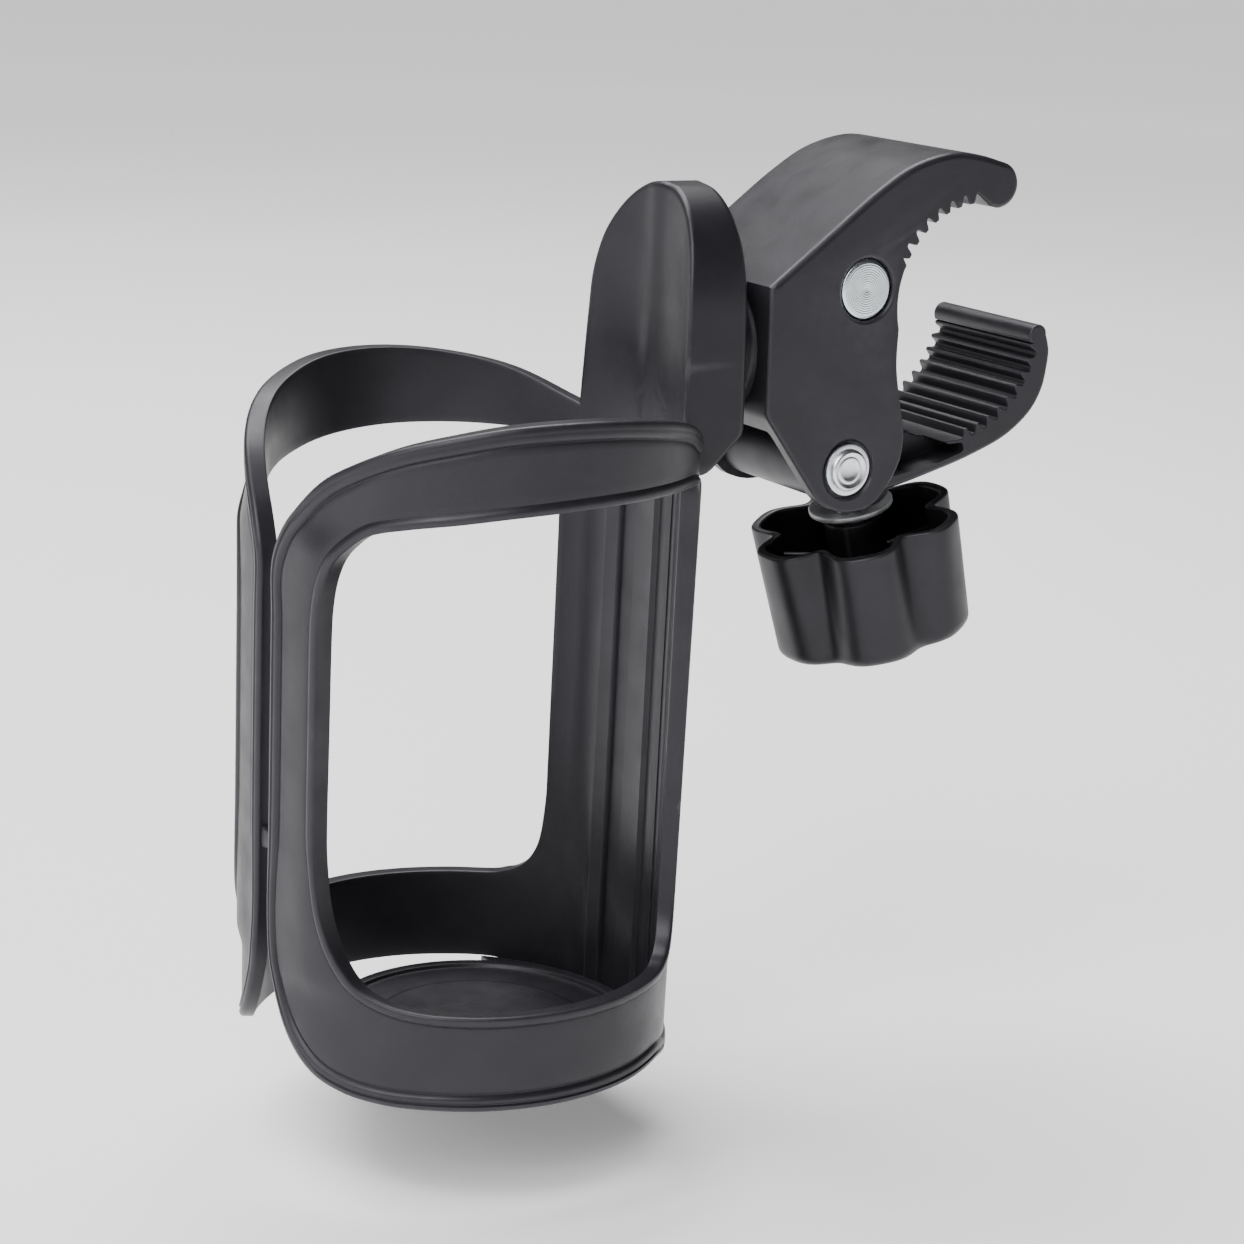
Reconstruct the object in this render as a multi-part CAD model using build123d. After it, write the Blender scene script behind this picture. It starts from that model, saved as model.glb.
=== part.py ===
from build123d import *
import os
from math import cos, hypot, pi, radians, sin

os.makedirs("parts", exist_ok=True)

# Clamp-on bottle holder: a two-winged cage for a bottle, swivelling on a screw clamp for tubes and edges.
# All sizes are in millimetres. The parts are drawn with Z along the cage axis, X from the cage to the
# clamp, and Z = 0 just above the wings' lower edge. save() then moves them so that the origin is the
# grip axis.

# ---- cage ----
CUP_R = 36.0            # inside of the wings, for a bottle of up to 71 mm
TOP_R = 39.5            # outside of the wings at their top, with moulding draft below
LOW_R = 38.3            # outside of the wings at their lower edge
WING_TOP = 117.2        # highest point of the wings' arched top edge
WING_LOW = -1.2         # their lower edge
FRONT_X = -27.5         # the front zone, cut square to X, lies beyond this
SEAM = 4.2              # gap between the wings at the front
BAR_Y = 13.9            # half-width over the two front bars
WINDOW_LOW = 15.5       # lower edge of the side windows
WINDOW_TOP = 102.3      # upper edge of the side windows
WINDOW_REAR_X = 31.0    # rear edge of the side windows
SPINE_W = 22.6          # beam that carries the wings and the floor
SPINE_X = 39.3          # back of the beam
SPINE_LOW = -9.4        # foot of the beam
SPINE_TOP = 104.0
TAB_W = 36.6            # mounting tab above the wings, at its lower end
TAB_NECK_W = 33.0       # and where its rounded top begins
TAB_TOP = 151.0
TAB_LOW = 101.4
TAB_X = 44.8            # back face of the tab
TAB_ARC = 18.0          # height of the tab's rounded top
FLOOR_X = 6.0           # centre of the round floor
FLOOR_R = 28.8
FLOOR_T = 1.4
FLOOR_Z = -1.8          # top of the floor
FLOOR_LOW = FLOOR_Z - FLOOR_T
FLOOR_RIM_W, FLOOR_RIM_H = 2.2, 0.8     # raised rim
NECK_X = 22.0           # beyond this the floor widens to meet the wall
SKIRT_X = 27.6          # beyond this the wall reaches down to the floor

# ---- swivel between tab and clamp ----
SWIVEL_Z = 122.0
PAD_R, PAD_T = 12.0, 1.0            # friction pad
HUB_R = 13.0                        # round hub of the clamp body
BOLT_R = 2.5                        # M5 shank
BOLT_HEAD_R, BOLT_HEAD_T = 4.6, 2.8
BOLT_TIP_X = 39.6
INSERT_R, INSERT_L = 3.5, 5.0       # knurled brass insert
FLAT_WASHER_R, FLAT_WASHER_T = 6.0, 1.0
SPRING_WASHER_R, SPRING_WASHER_T = 4.4, 1.2

# ---- clamp body ----
BODY_W = 35.0           # over the side plates
PLATE_T = 2.7
BACK_X = 48.5           # back wall, facing the tab
BACK_T = 3.0
BACK_LOW, BACK_TOP = 110.5, 134.2
ROOF_T = 3.0
GRIP_X, GRIP_Z, GRIP_R = 94.0, 130.6, 17.5     # the tube that the fixed jaw wraps
HOOK_X, HOOK_Z, HOOK_R = 97.9, 151.3, 4.2      # rounded end of the fixed jaw
TOOTH_DEPTH = 1.3
TEETH = 7
TOOTH_PITCH = 9.0       # degrees about the grip axis
TOOTH_FIRST = 98.0
TOOTH_TIP = 4.4         # degrees of land on each tooth
THROAT_OPEN_Z = 137.6   # below this the throat is open between the side plates, for the screw

# ---- moving jaw and its rivet ----
PIVOT_X, PIVOT_Z = 67.7, 100.5
RIVET_R, RIVET_BORE = 3.2, 1.7
RIVET_LIP_R, RIVET_LIP_T = 3.9, 0.9
RIVET_WASHER_R, RIVET_WASHER_T = 4.8, 0.8
RECESS_R, RECESS_T = 5.3, 0.8
JAW_W = 29.6
JAW_HUB_R = 6.6
RUNNING = 0.06          # radial clearance of a pin that turns
JAW_X, JAW_Z, JAW_R = 91.8, 124.2, 20.2        # hollow of the moving jaw, at the ribs' roots
JAW_RIBS = 9
JAW_RIB_PITCH = 8.25    # degrees about the hollow's centre
JAW_RIB_FIRST = 284.0
JAW_HOLLOW_FROM, JAW_HOLLOW_TO = 256.0, 352.0   # the hollow's arc
SLOT_W, SLOT_L = 7.2, 14.6                     # the slot that the screw swings in
LIP_X, LIP_Z, LIP_R = 112.0, 122.7, 1.9        # rounded lip of the moving jaw

# ---- screw, nut and knob ----
NUT_X, NUT_Z, NUT_R = 69.4, 133.1, 5.6         # cross barrel with the screw's thread
NUT_L = 34.4
SEAT_X, SEAT_Z = 81.7, 90.0                    # where the screw line meets the washer's top
SCREW_R = 3.0                                  # M6
SCREW_BEYOND = 1.5                             # screw end above the barrel's axis
WASHER_R, WASHER_T, WASHER_DISH = 8.0, 1.2, 1.3
WASHER_GAP = 0.5                               # between the washer and the jaw's saddle at rest
KNOB_R, KNOB_LOBE, KNOB_LOBES = 18.2, 2.4, 6
KNOB_TAPER = 1.0        # how much smaller the radius is at the closed end
KNOB_H, KNOB_WALL, KNOB_TOP = 22.8, 2.0, 3.6   # the rim stands KNOB_TOP below the seat
HUB_TUBE_R = 5.6
TUBE_TOP = -2.9                                # just below the washer
HEAD_AF, HEAD_T = 10.0, 4.0                    # the screw's hexagonal head, moulded into the knob


def save(name, shape):
    """Write one node, moved so that the origin is the grip axis in the clamp's mid plane."""
    export_step(Pos(-GRIP_X, 0, -GRIP_Z) * shape, f"parts/{name}.step")


def along_y(sketch, width):
    """A prism of an outline drawn as (x, z), centred on the mid plane."""
    return extrude(Plane.XZ * sketch, width / 2, both=True)


def along_x(sketch, low, high):
    """A prism of an outline drawn as (y, z), from x = low to x = high."""
    return extrude(Plane((low, 0, 0), x_dir=(0, 1, 0), z_dir=(1, 0, 0)) * sketch, high - low)


def rod(start, end, radius):
    """A round bar between two points."""
    axis = Vector(*end) - Vector(*start)
    return extrude(Plane(start, z_dir=axis) * Circle(radius), axis.length)


def cross_rod(x, z, radius, length):
    """A round bar along Y, centred on the mid plane."""
    return rod((x, -length / 2, z), (x, length / 2, z), radius)


def swivel_disc(radius, low, high):
    """A round slice on the swivel axis, from x = low to x = high."""
    return rod((low, 0, SWIVEL_Z), (high, 0, SWIVEL_Z), radius)


def about(centre, radius, angle):
    """The point at an angle on a circle drawn in (x, z)."""
    return (centre[0] + radius * cos(radians(angle)), centre[1] + radius * sin(radians(angle)))


# ---------------------------------------------------------------- cage
def shell():
    """The drafted cage wall, all the way round."""
    low, high = FLOOR_LOW - 1, WING_TOP + 1
    wall = Polygon((CUP_R, low), (LOW_R, low), (TOP_R, high), (CUP_R, high), align=None)
    return revolve(Plane.XZ * wall, Axis.Z)


def side_zone():
    """The wings' outline behind the front zone, seen from the side."""
    rear = ((0, WING_TOP), (13.5, 116.2), (25.4, 113.6), (33.5, 109.3))
    arch = Spline((-36, 108), (FRONT_X, 112.9), (-13.5, 116.5), *rear)
    skirt = [(42, FLOOR_LOW), (SKIRT_X, FLOOR_LOW), (SKIRT_X, WING_LOW)]
    rest = Polyline((33.5, 109.3), (42, 106), *skirt, (-36, WING_LOW), (-36, 108))
    side = along_y(make_face(arch + rest), 90)
    return side & Pos(FRONT_X + 50, 0, 60) * Box(100, 100, 200)


def front_zone():
    """The outline of the front zone, seen from the front: both wings, with the seam between them."""
    half = SEAM / 2
    top = Spline((28.2, 112.9), (25.3, 111.6), (19.8, 108.8), (13.5, 104), (6.9, 96.6), (half, 89))
    low = Spline((half, 24), (4.2, 15.4), (9.1, 6.2), (16.5, 0.8), (28.5, WING_LOW))
    ends = Polyline((half, 89), (half, 24))
    ends += Polyline((28.5, WING_LOW), (42, WING_LOW), (42, 112.9), (28.2, 112.9))
    wing = make_face(top + low + ends)
    return along_x(wing + mirror(wing, Plane.YZ), -45, FRONT_X)


def windows():
    """The two side windows: a straight cut along Y, and the rounded front part of each one."""
    rear = Pos((FRONT_X + WINDOW_REAR_X) / 2 - 10, (WINDOW_LOW + WINDOW_TOP) / 2)
    side = along_y(rear * RectangleRounded(WINDOW_REAR_X - FRONT_X + 20, WINDOW_TOP - WINDOW_LOW, 7), 90)
    keep = Pos(FRONT_X + 50, 0, 60) * Box(100, 100, 200)
    corner = Spline((28.5, WINDOW_LOW), (21.8, 18.6), (17, 27), (BAR_Y, 41))
    corner += Polyline((BAR_Y, 41), (BAR_Y, 88))
    corner += Spline((BAR_Y, 88), (15.6, 94.5), (19.5, 98.2), (24.5, 101.0), (28.5, WINDOW_TOP))
    corner += Polyline((28.5, WINDOW_TOP), (45, WINDOW_TOP), (45, WINDOW_LOW), (28.5, WINDOW_LOW))
    front = make_face(corner)
    front = along_x(front + mirror(front, Plane.YZ), -45, FRONT_X)
    return (side & keep) - spine_zone(), front


def spine_zone():
    """What the side cut must leave standing: the beam and the strips beside it."""
    return Pos(WINDOW_REAR_X + 10, 0, 60) * Box(20, 60, 200)


def tab():
    """The mounting tab: a rounded shield with a hollowed inner face and a chamfered lower end."""
    half = TAB_W / 2
    neck = TAB_NECK_W / 2
    spring = TAB_TOP - TAB_ARC
    shield = Polyline((-neck, spring), (-half, TAB_LOW), (half, TAB_LOW), (neck, spring))
    shield += ThreePointArc((neck, spring), (0, TAB_TOP), (-neck, spring))
    block = along_x(make_face(shield), 29, TAB_X)
    block = fillet(block.faces().sort_by(Axis.X)[-1].edges(), 1.6)
    heel = Polyline((36, TAB_LOW - 1), (TAB_X + 1, TAB_LOW - 1), (TAB_X + 1, 109.5), close=True)
    return block - along_y(make_face(heel), 60)


def floor_plate():
    """The round floor with its raised rim, widening to meet the wall's skirt at the spine."""
    plate = Pos(FLOOR_X, 0, FLOOR_Z - FLOOR_T / 2) * Cylinder(FLOOR_R, FLOOR_T)
    rim = Cylinder(FLOOR_R, FLOOR_RIM_H) - Cylinder(FLOOR_R - FLOOR_RIM_W, FLOOR_RIM_H)
    rim = Pos(FLOOR_X, 0, FLOOR_Z + FLOOR_RIM_H / 2) * rim
    wide = Cylinder(CUP_R + 0.5, FLOOR_T) - Pos(NECK_X - 50, 0, 0) * Box(100, 100, 10)
    wide = Pos(0, 0, FLOOR_Z - FLOOR_T / 2) * wide
    return plate + rim + wide


def spine():
    """The beam behind the bottle, with a rounded foot."""
    middle = Pos((30 + SPINE_X) / 2, 0, (SPINE_LOW + SPINE_TOP) / 2)
    beam = middle * Box(SPINE_X - 30, SPINE_W, SPINE_TOP - SPINE_LOW)
    foot = beam.edges().filter_by(Axis.Y).sort_by(Axis.Z)[:2].sort_by(Axis.X)[-1:]
    beam = fillet(foot, 4.0)
    back = beam.edges().filter_by(Axis.Z).sort_by(Axis.X)[-2:]
    return fillet(back, 1.5)


def bottle_cage():
    side, front = windows()
    wall = shell()
    wings = (wall & side_zone()) + (wall & front_zone()) - side - front
    back = spine() + tab()
    back -= Pos(0, 0, 60) * Cylinder(CUP_R, 260)
    cage = wings + back + floor_plate()
    cage -= swivel_disc(INSERT_R, TAB_X - INSERT_L, TAB_X + 1)
    cage -= swivel_disc(BOLT_R + 0.3, BOLT_TIP_X - 0.5, TAB_X)
    return cage


# ---------------------------------------------------------------- clamp body
def body_outline():
    """The side view of the clamp body."""
    grip = (GRIP_X, GRIP_Z)
    hook = (HOOK_X, HOOK_Z)
    root = GRIP_R + TOOTH_DEPTH
    crest = about(hook, HOOK_R, 80)
    roof = Polyline((BACK_X, BACK_TOP), (70.9, 150.9))
    roof += Spline((70.9, 150.9), (78.2, 155.2), (87.0, 157.3), crest, tangents=[(0.81, 0.59), (1, -0.18)])
    nose = ThreePointArc(crest, about(hook, HOOK_R, 0), about(hook, HOOK_R, 270))
    hook_left = about(hook, HOOK_R, 225)
    nose += ThreePointArc(about(hook, HOOK_R, 270), about(hook, HOOK_R, 250), hook_left)
    start = about(grip, root, 93)
    end = about(grip, root, 156)
    throat = about(grip, GRIP_R, 158)
    throat_low = about(grip, GRIP_R, 199)
    inner = Polyline(hook_left, start) + ThreePointArc(start, about(grip, root, 125), end)
    inner += Polyline(end, throat) + ThreePointArc(throat, about(grip, GRIP_R, 180), throat_low)
    belly_ends = [(0.1, -1), (-0.75, -0.66)]
    belly = Spline(throat_low, (77.6, 116.0), (80.1, 105.5), (76.6, 95.8), tangents=belly_ends)
    lobe = ThreePointArc((76.6, 95.8), (67.9, 92.6), (60.6, 96.0))
    back = Polyline((60.6, 96.0), (49.6, BACK_LOW), (BACK_X, BACK_TOP))
    return make_face(roof + nose + inner + belly + lobe + back)


def fixed_jaw_teeth():
    """Square-topped teeth round the grip, with their lands on the grip circle."""
    teeth = []
    for number in range(TEETH):
        middle = TOOTH_FIRST + number * TOOTH_PITCH
        tooth = Polygon(
            *[
                about((GRIP_X, GRIP_Z), radius, middle + side * TOOTH_TIP / 2 * spread)
                for radius, side, spread in (
                    (GRIP_R - 1, 1, 1), (GRIP_R - 1, -1, 1), (GRIP_R + 2.2, -1, 1.5), (GRIP_R + 2.2, 1, 1.5)
                )
            ],
            align=None,
        )
        teeth.append(along_y(tooth, BODY_W))
    return teeth


def clamp_body():
    """Two side plates joined by a back wall, a sloping roof and the fixed jaw."""
    outline = body_outline()
    block = along_y(outline, BODY_W)
    for tooth in fixed_jaw_teeth():
        block += tooth
    block -= cross_rod(GRIP_X, GRIP_Z, GRIP_R, BODY_W + 2)
    wall = BACK_X + BACK_T
    cavity = Polyline(
        (wall, 88.0), (wall, BACK_TOP - ROOF_T + 1.6), (72.4, 146.8), (75.2, 142.5), (76.0, THROAT_OPEN_Z),
        (90.0, THROAT_OPEN_Z), (90.0, 88.0), close=True,
    )
    block -= along_y(make_face(cavity), BODY_W - 2 * PLATE_T)
    block += swivel_disc(HUB_R, TAB_X + PAD_T, BACK_X + 1)
    block -= swivel_disc(BOLT_R + 0.2, TAB_X, BACK_X + BACK_T + 1)
    block -= cross_rod(NUT_X, NUT_Z, NUT_R + RUNNING, BODY_W + 2)
    block -= cross_rod(PIVOT_X, PIVOT_Z, RIVET_R + 0.02, BODY_W + 2)
    for side in (-1, 1):
        outside = side * BODY_W / 2
        block -= rod((PIVOT_X, outside, PIVOT_Z), (PIVOT_X, outside - side * RECESS_T, PIVOT_Z), RECESS_R)
    return block


# ---------------------------------------------------------------- screw line
def screw_frame():
    """A plane at the washer's seat whose Z runs up the screw towards the barrel nut."""
    return Plane((SEAT_X, 0, SEAT_Z), x_dir=(0, 1, 0), z_dir=(NUT_X - SEAT_X, 0, NUT_Z - SEAT_Z))


def on_screw(low, high, radius):
    """A round slice on the screw line, between two heights above the seat."""
    return extrude(screw_frame().offset(low) * Circle(radius), high - low)


SCREW_UP = hypot(NUT_X - SEAT_X, NUT_Z - SEAT_Z)       # seat to barrel axis
KNOB_RIM = -KNOB_TOP                                    # heights above the seat
KNOB_LOW = KNOB_RIM - KNOB_H
HEAD_LOW = KNOB_LOW + KNOB_WALL


def barrel_nut():
    return cross_rod(NUT_X, NUT_Z, NUT_R, NUT_L) - on_screw(SCREW_UP - 10, SCREW_UP + 10, SCREW_R + 0.05)


def clamp_screw():
    hexagon = RegularPolygon(HEAD_AF / 2, 6, major_radius=False)
    head = extrude(screw_frame().offset(HEAD_LOW) * hexagon, HEAD_T)
    shank = on_screw(HEAD_LOW + HEAD_T, SCREW_UP + SCREW_BEYOND, SCREW_R)
    return head + shank


def dished_washer():
    """A shallow saucer, hollow side up."""
    lift = WASHER_DISH
    section = Polygon(
        (SCREW_R + 0.3, -lift), (WASHER_R, 0), (WASHER_R, -WASHER_T), (SCREW_R + 0.3, -lift - WASHER_T),
        align=None,
    )
    ring = revolve(Plane.XZ * section, Axis.Z)
    return screw_frame().location * ring


def knob_outline(radius):
    """A circle with evenly spaced lobes, a notch between two of them on the local X axis."""
    steps = 8 * KNOB_LOBES
    points = []
    for number in range(steps):
        angle = 2 * pi * number / steps
        reach = radius - KNOB_LOBE * cos(KNOB_LOBES * angle)
        points.append((reach * cos(angle), reach * sin(angle)))
    return make_face(Spline(*points, periodic=True))


def knob():
    """A lobed cup, open towards the jaw, with a central tube and radial ribs."""
    low = screw_frame().offset(KNOB_LOW)
    rim = screw_frame().offset(KNOB_RIM)
    cup = loft([low * knob_outline(KNOB_R - KNOB_TAPER), rim * knob_outline(KNOB_R)])
    inside = KNOB_R - KNOB_WALL
    cup -= loft([low.offset(KNOB_WALL) * knob_outline(inside - KNOB_TAPER), rim * knob_outline(inside)])
    hub = on_screw(KNOB_LOW, HEAD_LOW + HEAD_T + 1.0, HEAD_AF / 2 + 2.2)
    tube = on_screw(KNOB_LOW, TUBE_TOP, HUB_TUBE_R)
    ribs = []
    reach = KNOB_R + KNOB_LOBE - KNOB_TAPER - 0.5       # into the wall at the lobes
    for number in range(KNOB_LOBES):
        turn = Rot(0, 0, (number + 0.5) * 360 / KNOB_LOBES)
        bar = turn * Pos(reach / 2, 0, (KNOB_H - 6) / 2) * Box(reach, 1.4, KNOB_H - 6)
        ribs.append(low.location * bar)
    body = cup + hub + tube
    for rib in ribs:
        body += rib
    return body - clamp_screw()


# ---------------------------------------------------------------- moving jaw and rivet
def jaw_outline():
    """The side view of the moving jaw: hub, straight arm and the curved end with its lip."""
    hollow = (JAW_X, JAW_Z)
    inner_low = about(hollow, JAW_R, JAW_HOLLOW_FROM)
    inner_end = about(hollow, JAW_R, JAW_HOLLOW_TO)
    hub_low = (PIVOT_X + 2.4, PIVOT_Z - JAW_HUB_R + 0.4)
    hub_top = (PIVOT_X + 1.0, PIVOT_Z + JAW_HUB_R - 0.2)
    side = (LIP_X + 2.9, 116.8)
    lip_out = (LIP_X + LIP_R * 0.9, LIP_Z + LIP_R * 0.5)
    under = Polyline(hub_low, (90.0, 97.9), (100.5, 101.2))
    under += ThreePointArc((100.5, 101.2), (111.8, 108.6), side)
    under += ThreePointArc(side, (LIP_X + 3.1, 120.2), lip_out)
    lip = ThreePointArc(lip_out, (LIP_X, LIP_Z + LIP_R), (LIP_X - LIP_R, LIP_Z))
    inner = Polyline((LIP_X - LIP_R, LIP_Z), inner_end)
    inner += ThreePointArc(inner_end, about(hollow, JAW_R, 300), inner_low)
    top = Polyline(inner_low, hub_top, hub_low)
    return make_face(under + lip + inner + top)


def lower_jaw():
    """The moving jaw with its hub, ribs, screw slot and the saddle that the washer pushes."""
    jaw = along_y(jaw_outline(), JAW_W) + cross_rod(PIVOT_X, PIVOT_Z, JAW_HUB_R, JAW_W)
    hollow = (JAW_X, JAW_Z)
    for number in range(JAW_RIBS):
        middle = JAW_RIB_FIRST + number * JAW_RIB_PITCH
        rib = Polygon(
            about(hollow, JAW_R - 1.4, middle - 1.2), about(hollow, JAW_R - 1.4, middle + 1.2),
            about(hollow, JAW_R + 0.8, middle + 3.0), about(hollow, JAW_R + 0.8, middle - 3.0), align=None,
        )
        jaw += along_y(rib, JAW_W)
    saddle = cross_rod(SEAT_X - 0.3, SEAT_Z + WASHER_GAP + 4.8, 5.0, 13.0)
    web = Pos(SEAT_X - 0.3, 0, SEAT_Z + 7.0) * Box(10.0, 13.0, 5.0)
    jaw += saddle + web
    slot = extrude(screw_frame().offset(-4) * RectangleRounded(SLOT_W, SLOT_L, SLOT_W / 2 - 0.1), 30)
    jaw -= slot
    jaw -= cross_rod(PIVOT_X, PIVOT_Z, RIVET_R + RUNNING, JAW_W + 2)
    for side in (-1, 1):
        jaw -= side_pocket(side)
    return jaw


def side_pocket(side):
    """The cored hollow in each side of the arm."""
    outline = ((84.6, 100.4), (85.6, 104.4), (90.4, 103.0), (95.4, 103.0), (96.0, 101.6), (90.6, 99.9))
    pocket = Polygon(*outline, align=None)
    depth = 7.0
    prism = extrude(Plane.XZ * pocket, depth / 2, both=True)
    return Pos(0, side * (JAW_W - depth) / 2 + side * 0.5, 0) * prism


def pivot_rivet():
    """A tubular rivet with its two rolled lips."""
    length = BODY_W - 2 * RECESS_T + 2 * RIVET_WASHER_T
    tube = cross_rod(PIVOT_X, PIVOT_Z, RIVET_R, length)
    for side in (-1, 1):
        end = side * length / 2
        tube += rod((PIVOT_X, end, PIVOT_Z), (PIVOT_X, end + side * RIVET_LIP_T, PIVOT_Z), RIVET_LIP_R)
    return tube - cross_rod(PIVOT_X, PIVOT_Z, RIVET_BORE, length + 10)


def rivet_washers():
    """The washer under each rolled lip, in its recess."""
    rings = []
    for side in (-1, 1):
        inner = side * (BODY_W / 2 - RECESS_T)
        outer = inner + side * RIVET_WASHER_T
        ring = rod((PIVOT_X, inner, PIVOT_Z), (PIVOT_X, outer, PIVOT_Z), RIVET_WASHER_R)
        rings.append(ring - cross_rod(PIVOT_X, PIVOT_Z, RIVET_R + 0.02, BODY_W + 10))
    return Compound(children=rings)


# ---------------------------------------------------------------- swivel hardware
HEAD_SIDE_X = BACK_X + BACK_T       # inside of the back wall, where the bolt's washers sit


def swivel_insert():
    return swivel_disc(INSERT_R, TAB_X - INSERT_L, TAB_X) - swivel_disc(BOLT_R, 0, 100)


def friction_pad():
    return swivel_disc(PAD_R, TAB_X, TAB_X + PAD_T) - swivel_disc(BOLT_R + 0.3, 0, 100)


def swivel_flat_washer():
    ring = swivel_disc(FLAT_WASHER_R, HEAD_SIDE_X, HEAD_SIDE_X + FLAT_WASHER_T)
    return ring - swivel_disc(BOLT_R + 0.15, 0, 100)


def swivel_spring_washer():
    """A split spring washer, closed flat under the bolt head."""
    low = HEAD_SIDE_X + FLAT_WASHER_T
    ring = swivel_disc(SPRING_WASHER_R, low, low + SPRING_WASHER_T) - swivel_disc(BOLT_R + 0.15, 0, 100)
    split = Pos(low, SPRING_WASHER_R / 2, SWIVEL_Z) * Rot(20, 0, 0) * Box(6, SPRING_WASHER_R * 2, 0.8)
    return ring - Pos(0, SPRING_WASHER_R / 2, 0) * split


def swivel_bolt():
    low = HEAD_SIDE_X + FLAT_WASHER_T + SPRING_WASHER_T
    bolt = swivel_disc(BOLT_R, BOLT_TIP_X, low) + swivel_disc(BOLT_HEAD_R, low, low + BOLT_HEAD_T)
    hexagon = Plane((low + 1.0, 0, SWIVEL_Z), x_dir=(0, 1, 0), z_dir=(1, 0, 0)) * RegularPolygon(1.5, 6)
    return bolt - extrude(hexagon, BOLT_HEAD_T)


NODES = {
    "bottle_cage": bottle_cage,
    "swivel_insert": swivel_insert,
    "friction_pad": friction_pad,
    "clamp_body": clamp_body,
    "swivel_flat_washer": swivel_flat_washer,
    "swivel_spring_washer": swivel_spring_washer,
    "swivel_bolt": swivel_bolt,
    "barrel_nut": barrel_nut,
    "lower_jaw": lower_jaw,
    "pivot_rivet": pivot_rivet,
    "rivet_washers": rivet_washers,
    "dished_washer": dished_washer,
    "clamp_screw": clamp_screw,
    "knob": knob,
}

for name, build in NODES.items():
    save(name, build())
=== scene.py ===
from math import atan2, cos, exp, hypot, pi, radians, sin, sqrt

import bmesh
import bpy
import numpy as np
from mathutils import Matrix, Vector


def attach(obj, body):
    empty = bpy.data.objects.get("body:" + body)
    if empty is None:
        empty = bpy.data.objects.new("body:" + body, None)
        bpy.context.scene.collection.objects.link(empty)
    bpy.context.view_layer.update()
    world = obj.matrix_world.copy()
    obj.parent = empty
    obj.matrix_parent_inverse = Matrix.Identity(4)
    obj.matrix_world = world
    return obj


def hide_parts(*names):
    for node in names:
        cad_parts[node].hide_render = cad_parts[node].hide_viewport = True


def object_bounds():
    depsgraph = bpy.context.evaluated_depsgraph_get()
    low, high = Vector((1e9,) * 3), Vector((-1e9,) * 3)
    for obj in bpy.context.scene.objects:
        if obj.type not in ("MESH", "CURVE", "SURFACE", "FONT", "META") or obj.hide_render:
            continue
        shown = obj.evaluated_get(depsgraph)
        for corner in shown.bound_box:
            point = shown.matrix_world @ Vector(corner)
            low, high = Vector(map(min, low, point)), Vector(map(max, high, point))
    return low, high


# The looks of a clamp-on bottle cage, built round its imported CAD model. Shapes are drawn in millimetres
# in cage coordinates: Z along the cage axis, X towards the clamp, Z = 0 just above the wings' lower edge.
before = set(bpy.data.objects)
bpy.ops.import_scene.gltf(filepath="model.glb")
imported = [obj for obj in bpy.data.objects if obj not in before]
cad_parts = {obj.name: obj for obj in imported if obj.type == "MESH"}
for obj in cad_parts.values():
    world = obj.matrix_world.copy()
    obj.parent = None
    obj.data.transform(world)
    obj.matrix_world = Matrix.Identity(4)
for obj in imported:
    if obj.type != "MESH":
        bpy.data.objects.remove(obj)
CAD_BOX = [list(corner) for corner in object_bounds()]

MM = 0.001
GRIP = (94.0, 130.6)            # the gripped tube's axis, which is the frame's origin
scene = bpy.context.scene


def to_row(point):
    """A point in cage millimetres as metres in the CAD's frame."""
    x, y, z = point
    return ((x - GRIP[0]) * MM, y * MM, (z - GRIP[1]) * MM)


# ------------------------------------------------------------------ mesh helpers
class Shape:
    """Points and faces in cage millimetres, gathered from several closed shells."""

    def __init__(self):
        self.points = []
        self.faces = []

    def loft(self, rings, around=False, caps=True):
        """Quads between rings of equal size; around joins the last ring to the first."""
        count = len(rings[0])
        base = len(self.points)
        for ring in rings:
            self.points.extend(tuple(float(v) for v in point) for point in ring)
        spans = len(rings) if around else len(rings) - 1
        for i in range(spans):
            low = base + i * count
            high = base + (i + 1) % len(rings) * count
            for j in range(count):
                k = (j + 1) % count
                self.faces.append((low + j, low + k, high + k, high + j))
        if caps and not around:
            last = base + (len(rings) - 1) * count
            self.faces.append(tuple(reversed(range(base, base + count))))
            self.faces.append(tuple(range(last, last + count)))
        return self

    def mirrored(self):
        """The same shells again on the other side of the mid plane."""
        base = len(self.points)
        self.points.extend([(x, -y, z) for x, y, z in self.points])
        self.faces.extend([tuple(base + i for i in reversed(face)) for face in self.faces])
        return self

    def join(self, other):
        base = len(self.points)
        self.points += other.points
        self.faces += [tuple(base + i for i in face) for face in other.faces]

    def to_object(self, name):
        mesh = bpy.data.meshes.new(name)
        mesh.from_pydata([to_row(point) for point in self.points], [], self.faces)
        shell = bmesh.new()
        shell.from_mesh(mesh)
        bmesh.ops.remove_doubles(shell, verts=shell.verts, dist=1e-6)
        bmesh.ops.dissolve_degenerate(shell, edges=shell.edges, dist=1e-7)
        bmesh.ops.recalc_face_normals(shell, faces=shell.faces)
        shell.to_mesh(mesh)
        shell.free()
        piece = bpy.data.objects.new(name, mesh)
        scene.collection.objects.link(piece)
        return piece


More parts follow.
